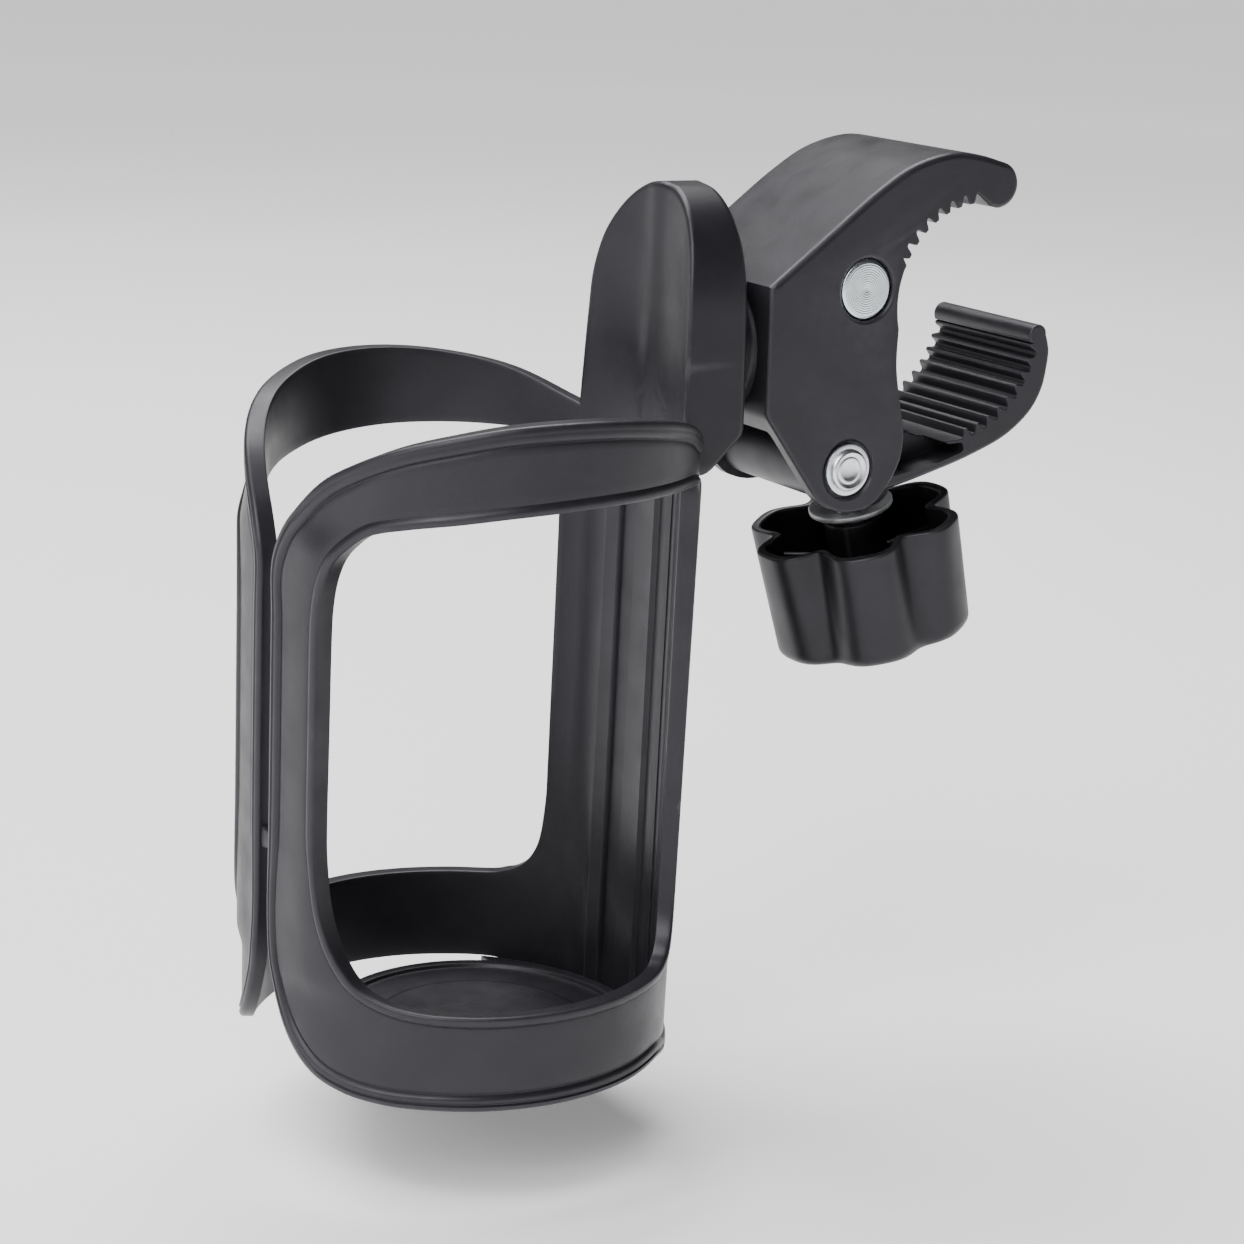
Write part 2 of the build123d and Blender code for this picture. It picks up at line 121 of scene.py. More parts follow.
def spline(keys, step, closed=False):
    """Points on a centripetal Catmull-Rom curve through keys, about step apart."""
    keys = [np.array(key, float) for key in keys]
    count = len(keys)
    spans = count if closed else count - 1
    if not closed:
        keys = [2 * keys[0] - keys[1]] + keys + [2 * keys[-1] - keys[-2]]
    points = []
    for i in range(spans):
        if closed:
            a, b, c, d = (keys[(i + k) % count] for k in (-1, 0, 1, 2))
        else:
            a, b, c, d = keys[i : i + 4]
        t1 = np.linalg.norm(b - a) ** 0.5
        t2 = t1 + np.linalg.norm(c - b) ** 0.5
        t3 = t2 + np.linalg.norm(d - c) ** 0.5
        parts = max(1, round(float(np.linalg.norm(c - b)) / step))
        for k in range(parts):
            t = t1 + (t2 - t1) * k / parts
            ab = (t1 - t) / t1 * a + t / t1 * b
            bc = (t2 - t) / (t2 - t1) * b + (t - t1) / (t2 - t1) * c
            cd = (t3 - t) / (t3 - t2) * c + (t - t2) / (t3 - t2) * d
            abc = (t2 - t) / t2 * ab + t / t2 * bc
            bcd = (t3 - t) / (t3 - t1) * bc + (t - t1) / (t3 - t1) * cd
            points.append((t2 - t) / (t2 - t1) * abc + (t - t1) / (t2 - t1) * bcd)
    if not closed:
        points.append(keys[-2])
    return [tuple(point) for point in points]


def arc(centre, radius, start, end, step=4.0):
    """Points on an arc in the (x, z) plane, from start to end degrees."""
    parts = max(1, round(abs(end - start) / step))
    turns = [radians(start + (end - start) * k / parts) for k in range(parts + 1)]
    return [(centre[0] + radius * cos(t), centre[1] + radius * sin(t)) for t in turns]


def line(start, end, step=2.0):
    """Points on a straight run, without its two ends."""
    parts = max(1, round(hypot(end[0] - start[0], end[1] - start[1]) / step))
    return [tuple(np.array(start) + (np.array(end) - np.array(start)) * k / parts) for k in range(1, parts)]


def rounded(corners, radii, parts=6):
    """A polygon with each corner rounded by its own radius."""
    points = []
    count = len(corners)
    for i, (corner, radius) in enumerate(zip(corners, radii)):
        here = np.array(corner, float)
        back = np.array(corners[i - 1], float) - here
        ahead = np.array(corners[(i + 1) % count], float) - here
        if radius <= 0:
            points.append(tuple(here))
            continue
        back /= np.linalg.norm(back)
        ahead /= np.linalg.norm(ahead)
        half = np.arccos(np.clip(back @ ahead, -1, 1)) / 2
        reach = radius / np.tan(half)
        middle = here + (back + ahead) / np.linalg.norm(back + ahead) * radius / np.sin(half)
        start = here + back * reach - middle
        end = here + ahead * reach - middle
        turn = atan2(start[0] * end[1] - start[1] * end[0], start @ end)
        for k in range(parts + 1):
            t = turn * k / parts
            turned = (start[0] * cos(t) - start[1] * sin(t), start[0] * sin(t) + start[1] * cos(t))
            points.append(tuple(middle + turned))
    return points


def inset(outline, amount):
    """An outline moved inwards by amount, which may differ from point to point."""
    path = np.array(outline, float)
    area = np.sum(path[:, 0] * np.roll(path[:, 1], -1) - np.roll(path[:, 0], -1) * path[:, 1])
    ahead = np.roll(path, -1, axis=0) - path
    ahead /= np.maximum(np.linalg.norm(ahead, axis=1, keepdims=True), 1e-9)
    back = np.roll(ahead, 1, axis=0)
    normal = np.stack([ahead[:, 1] + back[:, 1], -ahead[:, 0] - back[:, 0]], axis=1) * (1 if area > 0 else -1)
    normal /= np.maximum(np.linalg.norm(normal, axis=1, keepdims=True), 1e-9)
    out = np.stack([ahead[:, 1], -ahead[:, 0]], axis=1) * (1 if area > 0 else -1)
    reach = np.broadcast_to(amount, len(path)) / np.maximum(0.7, np.sum(normal * out, axis=1))
    return path - normal * reach[:, None]


def soft_rings(outline, low, high, soft, steps=4):
    """(ring, height) pairs for a prism whose edges are rounded by soft, which may vary along the outline."""
    soft = np.broadcast_to(np.array(soft, float), len(outline))
    rings = []
    for end, sign in ((low, 1), (high, -1)):
        part = []
        for k in range(steps + 1):
            turn = pi / 2 * k / steps
            part.append((inset(outline, soft * (1 - sin(turn))), end + sign * soft * (1 - cos(turn))))
        rings += part if sign > 0 else part[::-1]
    return rings


def softened(runs):
    """One outline from (points, edge softness) runs, and each point's softness, smoothed between runs."""
    outline, soft = [], []
    for run, amount in runs:
        outline += run
        soft += [amount] * len(run)
    soft = np.array(soft, float)
    for _ in range(3):
        soft = (np.roll(soft, 1) + soft + np.roll(soft, -1)) / 3
    return outline, soft


def prism_y(outline, width, soft, centre=0.0):
    """A soft-edged prism along Y of an (x, z) outline."""
    shape = Shape()
    rings = [
        [(x, y, z) for (x, z), y in zip(ring, heights)]
        for ring, heights in soft_rings(outline, centre - width / 2, centre + width / 2, soft)
    ]
    return shape.loft(rings)


def lathe(profile, place, parts=64):
    """A closed profile of (radius, height) turned about an axis; place maps (u, v, height) to the cage."""
    rings = []
    for k in range(parts):
        t = 2 * pi * k / parts
        rings.append([place(r * cos(t), r * sin(t), h) for r, h in profile])
    return Shape().loft(rings, around=True)


def cut(piece, cutter):
    """Takes cutter away from piece."""
    change = piece.modifiers.new("cut", "BOOLEAN")
    change.operation = "DIFFERENCE"
    change.solver = "EXACT"
    change.object = cutter
    apply_all(piece)
    bpy.data.objects.remove(cutter, do_unlink=True)


def apply_all(piece):
    """Makes the piece's modifiers part of its mesh."""
    bpy.context.view_layer.update()
    graph = bpy.context.evaluated_depsgraph_get()
    mesh = bpy.data.meshes.new_from_object(piece.evaluated_get(graph))
    piece.modifiers.clear()
    piece.data = mesh


def dress(piece, material, body, slot, *nodes, sharp=34):
    """Shading, material and body of a finished piece, and the CAD nodes that it stands for; slot is not used.
    """
    mesh = piece.data
    mesh.materials.clear()
    mesh.materials.append(material)
    mesh.polygons.foreach_set("use_smooth", [True] * len(mesh.polygons))
    mesh.set_sharp_from_angle(angle=radians(sharp))
    weigh = piece.modifiers.new("weigh", "WEIGHTED_NORMAL")
    weigh.keep_sharp = True
    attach(piece, body)
    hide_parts(*nodes)


# ------------------------------------------------------------------ materials
WORN_FROM_TO = (0.52, 0.60)     # pointiness at which an edge starts to look rubbed, and is fully rubbed


def new_material(name, colour, rough, metallic=0.0):
    material = bpy.data.materials.new(name)
    material.use_nodes = True
    shader = material.node_tree.nodes["Principled BSDF"]
    shader.inputs["Base Color"].default_value = (*colour, 1)
    shader.inputs["Roughness"].default_value = rough
    shader.inputs["Metallic"].default_value = metallic
    return material, material.node_tree, shader


def noise(tree, scale, detail=3.0, rough=0.55, stretch=None):
    """A noise texture in the object's own metres, optionally stretched."""
    where = tree.nodes.new("ShaderNodeTexCoord").outputs["Object"]
    if stretch:
        mapping = tree.nodes.new("ShaderNodeMapping")
        mapping.inputs["Scale"].default_value = stretch
        tree.links.new(where, mapping.inputs["Vector"])
        where = mapping.outputs["Vector"]
    texture = tree.nodes.new("ShaderNodeTexNoise")
    texture.inputs["Scale"].default_value = scale
    texture.inputs["Detail"].default_value = detail
    texture.inputs["Roughness"].default_value = rough
    tree.links.new(where, texture.inputs["Vector"])
    return texture.outputs["Fac"]


def span(tree, value, low, high, start=0.3, end=0.7):
    """value mapped from start..end to low..high."""
    node = tree.nodes.new("ShaderNodeMapRange")
    node.inputs["From Min"].default_value = start
    node.inputs["From Max"].default_value = end
    node.inputs["To Min"].default_value = low
    node.inputs["To Max"].default_value = high
    tree.links.new(value, node.inputs["Value"])
    return node.outputs["Result"]


def mix_colour(tree, factor, first, second):
    node = tree.nodes.new("ShaderNodeMix")
    node.data_type = "RGBA"
    tree.links.new(factor, node.inputs["Factor"])
    for value, socket in ((first, node.inputs["A"]), (second, node.inputs["B"])):
        if isinstance(value, tuple):
            socket.default_value = (*value, 1)
        else:
            tree.links.new(value, socket)
    return node.outputs["Result"]


def bumps(tree, shader, *layers):
    """Stacks (height, strength, distance) layers into the shader's normal."""
    normal = None
    for height, strength, distance in layers:
        node = tree.nodes.new("ShaderNodeBump")
        node.inputs["Strength"].default_value = strength
        node.inputs["Distance"].default_value = distance
        tree.links.new(height, node.inputs["Height"])
        if normal is not None:
            tree.links.new(normal, node.inputs["Normal"])
        normal = node.outputs["Normal"]
    tree.links.new(normal, shader.inputs["Normal"])


def edge_mask(tree):
    """1 on worn convex edges, 0 elsewhere."""
    pointed = tree.nodes.new("ShaderNodeNewGeometry").outputs["Pointiness"]
    return span(tree, pointed, 0.0, 1.0, *WORN_FROM_TO)


def moulded_plastic(name, dark, light, worn, rough_low, rough_high, grain):
    """Fine-grained black moulding: uneven sheen, faint mottling and edges rubbed paler."""
    material, tree, shader = new_material(name, dark, rough_low)
    tint = mix_colour(tree, span(tree, noise(tree, 90.0, 4.0), 0.0, 1.0), dark, light)
    worn_edges = tree.nodes.new("ShaderNodeMath")
    worn_edges.operation = "MULTIPLY"
    tree.links.new(edge_mask(tree), worn_edges.inputs[0])
    tree.links.new(span(tree, noise(tree, 400.0), 0.35, 1.0), worn_edges.inputs[1])
    tree.links.new(mix_colour(tree, worn_edges.outputs[0], tint, worn), shader.inputs["Base Color"])
    tree.links.new(span(tree, noise(tree, 160.0, 5.0), rough_low, rough_high), shader.inputs["Roughness"])
    bumps(
        tree, shader,
        (noise(tree, 30.0, 2.0), 0.25, 0.0004),
        (noise(tree, 2600.0, 2.0, 0.6), grain, 0.00006),
    )
    shader.inputs["Specular IOR Level"].default_value = 0.42
    shader.inputs["Specular Tint"].default_value = (0.95, 0.93, 1.0, 1)
    return material


def plated_steel(name, colour, rough_low, rough_high):
    """Zinc-plated steel with faint cloudy variation and fine scratches."""
    material, tree, shader = new_material(name, colour, rough_low, 1.0)
    dull = tuple(c * 0.82 for c in colour)
    clouds = span(tree, noise(tree, 500.0, 4.0), 0.0, 1.0)
    tree.links.new(mix_colour(tree, clouds, dull, colour), shader.inputs["Base Color"])
    tree.links.new(span(tree, noise(tree, 900.0, 4.0), rough_low, rough_high), shader.inputs["Roughness"])
    bumps(tree, shader, (noise(tree, 700.0, 3.0, stretch=(1, 6, 1)), 0.07, 0.00003))
    return material, tree, shader


BLACK = moulded_plastic(
    "black_moulding", dark=(0.0092, 0.0088, 0.0112), light=(0.0135, 0.0129, 0.0162),
    worn=(0.045, 0.043, 0.051), rough_low=0.34, rough_high=0.46, grain=0.4,
)
KNOB_BLACK = moulded_plastic(
    "knob_moulding", dark=(0.0075, 0.0073, 0.0092), light=(0.0110, 0.0107, 0.0132),
    worn=(0.036, 0.035, 0.040), rough_low=0.36, rough_high=0.46, grain=0.3,
)
STEEL = plated_steel("plated_steel", (0.86, 0.89, 0.92), 0.26, 0.38)[0]
ZINC = plated_steel("dull_zinc", (0.93, 0.94, 0.95), 0.42, 0.55)[0]
BRASS = plated_steel("brass_insert", (0.72, 0.53, 0.25), 0.28, 0.42)[0]
RUBBER = moulded_plastic(
    "pad_rubber", dark=(0.012, 0.012, 0.012), light=(0.020, 0.020, 0.020),
    worn=(0.04, 0.04, 0.04), rough_low=0.6, rough_high=0.75, grain=0.7,
)


def turned_steel():
    """Steel with the concentric marks of turning about the barrel nut's axis."""
    material, tree, shader = plated_steel("turned_steel", (0.80, 0.86, 0.90), 0.20, 0.30)
    place = tree.nodes.new("ShaderNodeTexCoord").outputs["Object"]
    shift = tree.nodes.new("ShaderNodeMapping")
    shift.inputs["Location"].default_value = tuple(-v for v in to_row((NUT[0], 0, NUT[1])))
    tree.links.new(place, shift.inputs["Vector"])
    rings = tree.nodes.new("ShaderNodeTexWave")
    rings.wave_type = "RINGS"
    rings.rings_direction = "Y"
    rings.inputs["Scale"].default_value = 760.0
    rings.inputs["Distortion"].default_value = 0.3
    tree.links.new(shift.outputs["Vector"], rings.inputs["Vector"])
    bumps(tree, shader, (rings.outputs["Fac"], 0.6, 0.00006))
    around = tree.nodes.new("ShaderNodeTangent")
    around.direction_type = "RADIAL"
    around.axis = "Y"
    tree.links.new(around.outputs["Tangent"], shader.inputs["Tangent"])
    shader.inputs["Anisotropic"].default_value = 0.8
    return material


# ------------------------------------------------------------------ bottle cage
CUP_R = 36.0
WING_TOP = 117.2
TOP_R, LOW_R = 39.3, 38.3
SEAM_EDGE = 176.9               # degrees from the spine to the wings' front edge
SPINE_HALF = 17.6               # degrees

# Matched points round one wing: (outer angle, outer height, window angle, window height).
WING_KEYS = [
    (13, 98, 34.3, 88), (13, 104.5, 34.6, 95.5), (18, 106.3, 36.3, 99.6), (25, 107.6, 39.3, 101.7),
    (34, 109.6, 43.5, 102.4), (50, 113.6, 53, 102.8), (70, 116.2, 72, 103.0), (90, 117.2, 90, 102.7),
    (110, 116.5, 109, 101.6), (126, 114.3, 123, 100.2), (138, 111.9, 134.5, 98.9), (149, 108.6, 144, 97.2),
    (158, 105.1, 149.5, 94.6), (166, 100.3, 153.6, 91.4), (172.5, 95.4, 156.0, 87.5),
    (SEAM_EDGE, 89, 157.2, 83), (SEAM_EDGE, 80, 157.5, 78), (SEAM_EDGE, 60, 157.5, 60),
    (SEAM_EDGE, 42, 157.5, 45), (SEAM_EDGE, 25.5, 157.0, 38.5), (175.2, 16.7, 155.4, 31.8),
    (171.3, 10.0, 152.6, 26.4), (166, 4.9, 149, 22.2), (158.5, 1.0, 144.4, 18.9), (149, -1.0, 138.5, 17.0),
    (138, -1.8, 131, 15.9), (120, -1.9, 118, 15.4), (90, -1.9, 90, 15.3), (66, -1.9, 66, 15.3),
    (48, -1.9, 50, 15.6), (43, -2.5, 46.5, 16.2), (38, -3.15, 43.2, 16.9), (28, -3.15, 38.6, 19.6),
    (19, -3.1, 35.8, 24.0), (13, -2.0, 34.5, 31.0), (13, 10, 34.3, 38), (13, 30, 34.3, 50),
    (13, 55, 34.3, 62), (13, 80, 34.3, 76),
]


def wall_radius(height):
    return LOW_R + (TOP_R - LOW_R) * min(max(height / WING_TOP, 0), 1)


def step(value, low, high):
    """0 below low, 1 above high, smooth between."""
    t = min(max((value - low) / (high - low), 0), 1)
    return t * t * (3 - 2 * t)


def inner_depth(angle):
    """How far the cage's inner face is cut back, by angle from the middle of the spine."""
    angle = abs(angle)
    channel = step(angle, 4.6, 5.3) * (1 - step(angle, 11.6, 12.3))
    strip = step(angle, 17.4, 17.7) * (1 - step(angle, 23.2, 24.0))
    return 0.9 * channel + 0.35 * strip


def bar_bulge(angle, height):
    """The front bars stand out towards the window, with soft ends."""
    ends = step(height, 14, 19) * (1 - step(height, 92, 99))
    across = step(angle, 138, 156) * (1 - 0.8 * step(angle, 158, 172))
    return 1.0 * ends * across


def wing_ring(key):
    """The section of a wing's band: a closed ring with a bead along each edge."""
    outer_angle, outer_z, inner_angle, inner_z = key
    mean_r = wall_radius((outer_z + inner_z) / 2)
    outer = np.array((radians(outer_angle) * mean_r, outer_z))
    inner = np.array((radians(inner_angle) * mean_r, inner_z))
    across = outer - inner
    width = float(np.linalg.norm(across))
    across /= width
    # The lower and front outer edge has a second groove; the top edge has one bead only.
    twin = max(step(outer_angle, 150, 165) * (1 - step(outer_z, 96, 106)), 1 - step(outer_z, 4, 20))
    in_bead = (
        (0.0, -0.5), (0.0, 0.05), (0.12, 0.32), (0.4, 0.5), (0.9, 0.55), (1.4, 0.42), (1.75, 0.12),
        (2.0, -0.1), (2.35, 0.0),
    )
    out_bead = (
        (3.7, 0.0), (3.35, -0.22), (3.05, -0.22), (2.8, 0.12), (2.5, 0.36), (2.1, 0.44), (1.75, 0.44),
        (1.5, 0.40 - 0.3 * twin), (1.3, 0.40 - 0.3 * twin), (1.05, 0.42), (0.6, 0.36), (0.25, 0.16),
        (0.05, -0.15), (0.0, -0.5),
    )
    spots = [(d, lift, True) for d, lift in in_bead]
    spots += [(2.35 + (width - 6.05) * k / 8, 0.0, True) for k in range(1, 8)]
    spots += [(width - d, lift, True) for d, lift in out_bead]
    spots += [(width, 0.45, False), (width - 0.12, 0.14, False), (width - 0.45, 0.0, False)]
    spots += [(0.45 + (width - 0.9) * k / 12, 0.0, False) for k in range(11, 0, -1)]
    spots += [(0.45, 0.0, False), (0.12, 0.14, False), (0.0, 0.45, False)]
    ring = []
    for along, lift, outside in spots:
        arc_mm, z = inner + across * along
        angle = float(np.degrees(arc_mm / mean_r))
        if outside:
            radius = wall_radius(z) + bar_bulge(angle, z) + lift
        else:
            radius = CUP_R + inner_depth(angle) + lift
        turn = radians(angle)
        ring.append((radius * cos(turn), -radius * sin(turn), float(z)))
    return ring


def spine_ring(z, back_x, half_deg=SPINE_HALF):
    """One level of the spine: hollow inner face with its channels, straight sides, rounded back."""
    inside = []
    for k in range(71):
        angle = -half_deg + 2 * half_deg * k / 70
        radius = CUP_R - 0.02 + inner_depth(min(abs(angle), 17.3))
        inside.append((radius * cos(radians(angle)), radius * sin(radians(angle))))
    half = inside[-1][1]
    corner = min(1.8, back_x - inside[-1][0] - 0.2)
    # From +Y to -Y round the back: the side first, then the corner.
    turns = [pi / 2 * k / 6 for k in range(7)]
    back = [(back_x - corner + corner * sin(turn), half - corner + corner * cos(turn)) for turn in turns]
    back += [(x, -y) for x, y in reversed(back)]
    return [(x, y, z) for x, y in inside + back]


def spine(shape):
    """The beam behind the bottle, with its rounded foot."""
    foot, top, radius, back = -9.4, 106.0, 4.6, 39.3
    rings = []
    for k in range(9):
        turn = pi / 2 * k / 8
        rings.append(spine_ring(foot + radius * (1 - cos(turn)), back - 2.7 + 2.7 * sin(turn)))
    for k in range(1, 24):
        rings.append(spine_ring(foot + radius + (top - foot - radius) * k / 23, back))
    shape.loft(rings)


TAB_LOW, TAB_SPRING, TAB_TOP, TAB_BACK = 101.4, 133.0, 151.0, 44.8
TAB_HALF = 18.2


def tab_outline():
    """The tab's shield outline as (y, z), anticlockwise from the lower left."""
    low = TAB_LOW
    corner = [(-TAB_HALF + 1.2, low), (-TAB_HALF + 0.35, low + 0.35)]
    side = spline(
        [(-TAB_HALF, low + 1.2), (-17.6, 116.0), (-17.1, 126.0), (-16.4, 134.0), (-14.2, 141.2),
         (-9.9, 147.0), (-5.0, 150.1), (0.0, TAB_TOP)], 1.1
    )
    half = corner + side
    outline = half + [(-y, z) for y, z in reversed(half[:-1])]
    bottom = [(TAB_HALF - 1.2 - 2 * (TAB_HALF - 1.2) * k / 20, low) for k in range(1, 20)]
    return [(float(y), float(z)) for y, z in (outline + bottom)][::-1]


def tab_back(z):
    """The back face, with the chamfered heel below it."""
    return min(TAB_BACK, 37.1 + (z - TAB_LOW) * 1.077)


def tab(shape):
    outline = tab_outline()
    spine_line = [(0.0, min(max(z, TAB_LOW + 14), TAB_SPRING - 0.5)) for y, z in outline]

    def shrunk(distance):
        ring = []
        for (y, z), (my, mz) in zip(outline, spine_line):
            away = np.array((y - my, z - mz))
            reach = float(np.linalg.norm(away))
            ring.append(tuple(np.array((y, z)) - away / reach * min(distance, reach * 0.98)))
        return ring

    def face_x(y, z):
        ridge = 0.55 * exp(-((y - 1.5) / 2.2) ** 2)
        return sqrt(max((CUP_R - 0.03) ** 2 - y * y, 1.0)) - ridge

    rings = []
    for distance in (14.0, 10.0, 6.0, 3.0):
        rings.append([(tab_back(z), y, z) for y, z in shrunk(distance)])
    round_back = 1.9
    for k in range(6):
        turn = pi / 2 * k / 5
        ring = inset(outline, round_back * (1 - sin(turn)))
        rings.append([(tab_back(z) - round_back * (1 - cos(turn)), y, z) for y, z in ring])
    round_face = 1.1
    for k in range(5):
        turn = pi / 2 * k / 4
        ring = inset(outline, round_face * (1 - cos(turn)))
        rings.append([(face_x(y, z) + round_face * (1 - sin(turn)), y, z) for y, z in ring])
    for distance in (1.6, 2.4, 3.4, 4.6, 6.0, 7.5, 9.0, 10.5, 12.0, 13.5, 15.0, 16.4):
        rings.append([(face_x(y, z), y, z) for y, z in shrunk(distance)])
    shape.loft(rings)


def floor(shape):
    """The round floor with its raised rim and a shallow inner step."""
    middle, radius = 6.0, 28.8
    low, face, step_top, rim_top = -3.2, -1.8, -1.5, -1.0
    # The flat faces have rings all the way in, so that the edge wear stays at the edges.
    section = [(r, low) for r in (0.01, 0.3, 4, 9, 14, 19, 24, 27, radius - 0.9)]
    section += [
        (radius - 0.7, low), (radius - 0.2, -3.0), (radius, -2.5), (radius, -1.5), (radius - 0.2, -1.1),
        (radius - 0.6, rim_top), (radius - 1.7, rim_top), (radius - 2.1, -1.15), (radius - 2.4, -1.7),
        (radius - 2.8, face), (radius - 3.2, face), (radius - 6, face), (radius - 8.6, face),
        (radius - 9, face), (radius - 9.3, -1.75), (radius - 9.8, step_top), (radius - 10.2, step_top),
    ]
    section += [(r, step_top) for r in (18.2, 17, 14, 10, 6, 3, 0.3, 0.01)]
    rings = []
    parts = 128
    for k in range(parts):
        t = 2 * pi * k / parts
        rings.append([(middle + r * cos(t), r * sin(t), z) for r, z in section])
    shape.loft(rings, around=True)
    neck = arc((0, 0), 36.4, -52.8, 52.8)
    levels = ((-3.19, 0.3), (-3.0, 0.0), (-2.0, 0.0), (-1.81, 0.3))
    shape.loft([[(x, y, z) for x, y in inset(neck, amount)] for z, amount in levels])


def seam_bridge(shape):
    """The small moulded tie between the wings at the front."""
    rings = []
    front, back, low, high = -38.2, -36.3, 37, 41
    for y in (-3.2, -1.2, 0.0, 1.2, 3.2):
        waist = 0.35 * exp(-((y / 1.4) ** 2))
        corners = [
            (front + waist, low + waist), (back, low + waist), (back, high - waist),
            (front + waist, high - waist),
        ]
        ring = rounded(corners, [0.4] * 4, 3)
        rings.append([(x, y, z) for x, z in ring])
    shape.loft(rings)


cage = Shape()
cage.loft([wing_ring(key) for key in spline(WING_KEYS, 1.6, closed=True)], around=True)
cage.mirrored()
spine(cage)
tab(cage)
floor(cage)
seam_bridge(cage)
dress(cage.to_object("cage_moulding"), BLACK, "cage", "black_plastic", "bottle_cage")


# ------------------------------------------------------------------ clamp body
BODY_W, PLATE_T = 35.0, 2.7
PIVOT = (67.7, 100.5)
NUT = (69.4, 133.1)
SWIVEL_Z = 122.0


def toothed(centre, start, end, land, root, teeth, tip, slope):
    """An arc in (x, z) from start to end degrees with rounded teeth centred on the listed angles."""
    points = []
    parts = max(2, round(abs(end - start) / 0.9))
    for k in range(parts + 1):
        angle = start + (end - start) * k / parts
        gap = min(abs(angle - tooth) for tooth in teeth)
        radius = land + (root - land) * step(gap, tip / 2, tip / 2 + slope)
        points.append((centre[0] + radius * cos(radians(angle)), centre[1] + radius * sin(radians(angle))))
    return points


def body_parts():
    """The clamp body's side view, with how softly each point's edge is rounded."""
    hook = (97.9, 151.3)
    roof = spline(
        [(48.5, 134.2), (60.0, 142.8), (70.9, 150.9), (78.2, 155.1), (87.0, 157.3), (93.5, 156.7),
         (98.6, 155.45)], 1.2
    )
    nose = arc(hook, 4.2, 80, -90, 9)
    under = [(95.9, 147.6)]
    teeth = [98.0 + 9.0 * k for k in range(7)]
    jaw = toothed(GRIP, 94.0, 155.0, 17.55, 19.3, teeth, 2.6, 2.6)
    throat = arc(GRIP, 17.5, 157.5, 196, 3)
    lobe_front, lobe_back, heel, shoulder = (77.2, 96.9), (60.4, 96.3), (49.7, 110.3), (49.0, 111.6)
    waist = [(77.3, 119.0), (78.6, 112.4), (80.0, 106.0), (79.4, 101.2)]
    belly = spline([throat[-1]] + waist + [lobe_front], 1.2)[1:]
    lobe = spline([lobe_front, (74.4, 93.9), (71.0, 92.6), (67.0, 92.6), (63.0, 94.0), lobe_back], 1.0)[1:]
    back = line(lobe_back, heel) + [heel, shoulder] + line(shoulder, roof[0])
    runs = (
        (roof, 1.25), (nose, 1.1), (under, 0.6), (jaw, 0.25), (throat, 0.6),
        (belly, 0.7), (lobe, 0.7), (back, 0.8),
    )
    return softened(runs)


def clamp_body():
    """The body moulding: hollow inside, with the nut's bores and a recess round each end of the rivet."""
    outline, soft = body_parts()
    piece = prism_y(outline, BODY_W, soft).to_object("clamp_moulding")
    inside = rounded(
        [(51.5, 80), (51.5, 132.6), (72.4, 146.8), (75.2, 142.5), (76.0, 137.6), (92, 137.6), (92, 80)],
        [0, 2, 3, 1.5, 1.0, 0, 0]
    )
    cut(piece, prism_y(inside, BODY_W - 2 * PLATE_T, 0.8).to_object("cavity"))
    for (x, z), radius, mouth in ((NUT, 5.66, 0.7), (PIVOT, 3.25, 0.0)):
        half = BODY_W / 2
        profile = [
            (0.01, -half - 2), (radius + mouth, -half - 2), (radius + mouth, -half - 0.01),
            (radius + mouth * 0.3, -half + mouth * 0.45), (radius, -half + mouth + 0.02),
        ]
        profile += [(r, -h) for r, h in reversed(profile)]
        cut(piece, lathe(profile, lambda u, v, h, x=x, z=z: (x + u, h, z + v), 96).to_object("bore"))
    for side in (-1, 1):
        face = side * BODY_W / 2
        profile = [
            (0.01, face - side * 0.8), (5.0, face - side * 0.8), (5.3, face - side * 0.6),
            (5.4, face - side * 0.35), (5.8, face + side * 0.02), (5.8, face + side * 2),
            (0.01, face + side * 2),
        ]
        cut(piece, lathe(profile, lambda u, v, h: (PIVOT[0] + u, h, PIVOT[1] + v), 96).to_object("recess"))
    return piece


def hub():
    """The round boss between the back wall and the friction pad."""
    face = TAB_BACK + 1.0
    profile = [
        (2.7, face), (12.6, face), (12.95, face + 0.15), (13.0, face + 0.5), (13.0, 47.8), (13.3, 48.4),
        (13.9, 48.9), (13.9, 50.0), (2.7, 50.0),
    ]
    return lathe(profile, lambda u, v, h: (h, u, SWIVEL_Z + v), 96).to_object("hub")


dress(clamp_body(), BLACK, "clamp", "black_plastic", "clamp_body")
dress(hub(), BLACK, "clamp", "black_plastic", "clamp_body")


# ------------------------------------------------------------------ screw line and cross line
SEAT = (81.7, 90.0)
SCREW_UP = Vector((NUT[0] - SEAT[0], 0, NUT[1] - SEAT[1])).normalized()
SCREW_SIDE = Vector((0, 1, 0))
SCREW_OUT = SCREW_SIDE.cross(SCREW_UP)


def on_screw(u, v, height):
    """A point beside the screw line, at a height above the washer's seat."""
    point = Vector((SEAT[0], 0, SEAT[1])) + SCREW_SIDE * u + SCREW_OUT * v + SCREW_UP * height
    return tuple(point)


def on_cross(centre):
    """Places a lathe profile on a line along Y."""
    return lambda u, v, height: (centre[0] + u, height, centre[1] + v)


# ------------------------------------------------------------------ moving jaw
JAW_W = 29.6
JAW_HOLLOW = (91.8, 124.2)


